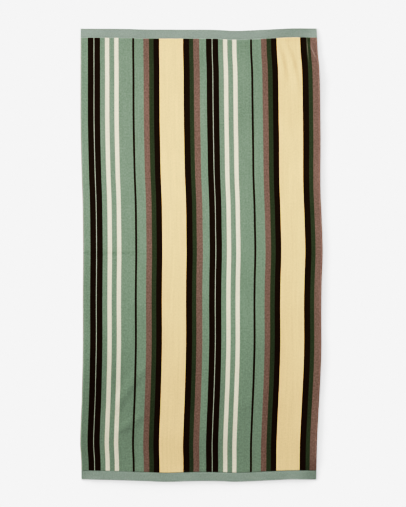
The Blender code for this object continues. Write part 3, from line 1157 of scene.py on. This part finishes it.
def lay_floor(studio):
    """A plain pale floor, far wider than any view of the towel."""
    corners = [(-1, -1), (1, -1), (1, 1), (-1, 1)]
    mesh = bpy.data.meshes.new("floor")
    points = [(FLOOR_REACH * x, FLOOR_REACH * y, -FLOOR_DROP) for x, y in corners]
    mesh.from_pydata(points, [], [(0, 1, 2, 3)])
    looks = {
        "Base Color": (*(studio.floor_tone,) * 3, 1),
        "Roughness": 1.0,
        "Specular IOR Level": 0.0,
        "Emission Color": (1, 1, 1, 1),
        "Emission Strength": studio.floor_glow,
    }
    mesh.materials.append(finish_material(new_material("pale floor"), looks))
    floor = placed("floor", mesh)
    floor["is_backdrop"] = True
    return floor


def far_light(name, strength, stands):
    """A light so far off that it comes from one side all over, as wide as it looks."""
    lamp = bpy.data.lights.new(name, "SUN")
    lamp.energy = strength
    lamp.angle = math.radians(stands.spread_deg)
    turn = math.radians(stands.turn_deg)
    rise = math.radians(stands.rise_deg)
    flat = math.cos(rise)
    towards = Vector((flat * math.cos(turn), flat * math.sin(turn), math.sin(rise)))
    placed(name, lamp).rotation_euler = towards.to_track_quat("Z", "Y").to_euler()


def hang_lights(studio, floor):
    """Low light from the left and from past the head, and a strip over the cloth alone."""
    far_light("side light", studio.side, SIDE_LIGHT)
    far_light("head light", studio.head, HEAD_LIGHT)
    strip = bpy.data.lights.new("strip", "AREA")
    strip.shape = "RECTANGLE"
    strip.size, strip.size_y = STRIP_SIZE
    strip.spread = math.radians(STRIP_SPREAD_DEG)
    strip.energy = studio.top
    strip_light = placed("strip", strip)
    strip_light.location = STRIP_PLACE
    strip_light.rotation_euler.z = math.radians(STRIP_TURN_DEG)
    strip_light.visible_camera = False
    unlit = bpy.data.collections.new("unlit by the strip")
    unlit.objects.link(floor)
    unlit.collection_objects[0].light_linking.link_state = "EXCLUDE"
    strip_light.light_linking.receiver_collection = unlit


def light_all_round(studio):
    """Even light from all around, and a pale distance where the camera sees past the floor."""
    world = bpy.data.worlds.new("studio")
    world.use_nodes = True
    tree = world.node_tree
    white = (1, 1, 1, 1)
    fill = tree.nodes["Background"]
    feed(fill, {"Color": white, "Strength": studio.fill})
    distance = add(tree, "Background", {"Color": white, "Strength": FILM[-1].light})
    seen = add(tree, "LightPath")["Is Camera Ray"]
    both = distance.add("MixShader", {0: seen, 1: Wire(fill.outputs[0]), 2: distance})
    feed(tree.nodes["World Output"], {"Surface": both})
    bpy.context.scene.world = world


def develop():
    """Gives the picture a camera's soft highlights."""
    view = bpy.context.scene.view_settings
    view.view_transform = "Standard"
    view.use_curve_mapping = True
    mapping = view.curve_mapping
    mapping.clip_max_x = mapping.clip_max_y = FILM[-1].light
    mapping.extend = "HORIZONTAL"
    for colour in mapping.curves[:3]:
        colour.points[1].location = (FILM[-1].light, FILM[-1].light)
    curve = mapping.curves[3]
    curve.points[0].location = FILM[0]
    curve.points[1].location = FILM[-1]
    for tone in FILM[1:-1]:
        curve.points.new(*tone)
    mapping.update()


def set_camera(studio):
    """A long lens, looking straight down at the towel."""
    camera = bpy.data.cameras.new("camera")
    camera.lens = studio.lens
    camera.sensor_width = 36
    standing = placed("camera", camera)
    standing.location = studio.camera_place
    bpy.context.scene.camera = standing


# -------- the add-on


class BEACH_TOWEL_OT_pile(bpy.types.Operator):
    """Makes the velour body, with its looped back and its selvedges"""

    bl_idname = "beach_towel.pile"
    bl_label = "Pile body"

    def execute(self, context):
        materials = [material_named(velour_face), material_named(looped_back)]
        make_pile(context.scene.towel_sizes, materials)
        return {"FINISHED"}


class BEACH_TOWEL_OT_hems(bpy.types.Operator):
    """Makes the hem at each end, flat-woven and turned twice"""

    bl_idname = "beach_towel.hems"
    bl_label = "Hems"

    def execute(self, context):
        for end in ("head", "foot"):
            make_hem(context.scene.towel_sizes, end, material_named(flat_woven_hem))
        return {"FINISHED"}


class BEACH_TOWEL_OT_stitches(bpy.types.Operator):
    """Sews a row of lockstitch through each hem"""

    bl_idname = "beach_towel.stitches"
    bl_label = "Stitches"

    def execute(self, context):
        for end in ("head", "foot"):
            make_stitches(context.scene.towel_sizes, end, material_named(sewing_thread))
        return {"FINISHED"}


class BEACH_TOWEL_OT_stage(bpy.types.Operator):
    """Sets the floor, the light and the camera"""

    bl_idname = "beach_towel.stage"
    bl_label = "Stage"

    def execute(self, context):
        studio = context.scene.towel_studio
        floor = lay_floor(studio)
        hang_lights(studio, floor)
        light_all_round(studio)
        set_camera(studio)
        develop()
        return {"FINISHED"}


STEPS = (
    BEACH_TOWEL_OT_pile, BEACH_TOWEL_OT_hems, BEACH_TOWEL_OT_stitches, BEACH_TOWEL_OT_stage,
)


class BEACH_TOWEL_PT_panel(bpy.types.Panel):
    """Lists the towel's pieces and settings"""

    bl_label = "Beach towel"
    bl_idname = "BEACH_TOWEL_PT_panel"
    bl_space_type = "VIEW_3D"
    bl_region_type = "UI"
    bl_category = "Beach towel"

    def draw(self, context):
        for step in STEPS:
            self.layout.operator(step.bl_idname)
        scene = context.scene
        for group in (scene.towel_sizes, scene.towel_yarns, scene.towel_studio):
            box = self.layout.box()
            for name in group.bl_rna.properties.keys():
                if name not in ("rna_type", "name"):
                    box.prop(group, name)


GROUPS = {"towel_sizes": TowelSizes, "towel_yarns": TowelYarns, "towel_studio": TowelStudio}
CLASSES = (*GROUPS.values(), *STEPS, BEACH_TOWEL_PT_panel)


def register():
    for kind in CLASSES:
        bpy.utils.register_class(kind)
    for name, kind in GROUPS.items():
        setattr(bpy.types.Scene, name, PointerProperty(type=kind))


def unregister():
    for name in GROUPS:
        delattr(bpy.types.Scene, name)
    for kind in reversed(CLASSES):
        bpy.utils.unregister_class(kind)


def declare_cloth():
    """Looks up the pile body."""
    bpy.data.objects["towel_pile"]


def main():
    register()
    bpy.ops.beach_towel.pile()
    bpy.ops.beach_towel.hems()
    bpy.ops.beach_towel.stitches()
    bpy.ops.beach_towel.stage()
    declare_cloth()
    boxes = {"cad": CAD_BOX, "visual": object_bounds()}
    {name: [list(corner) for corner in box] for name, box in boxes.items()}


if __name__ == "__main__":
    main()
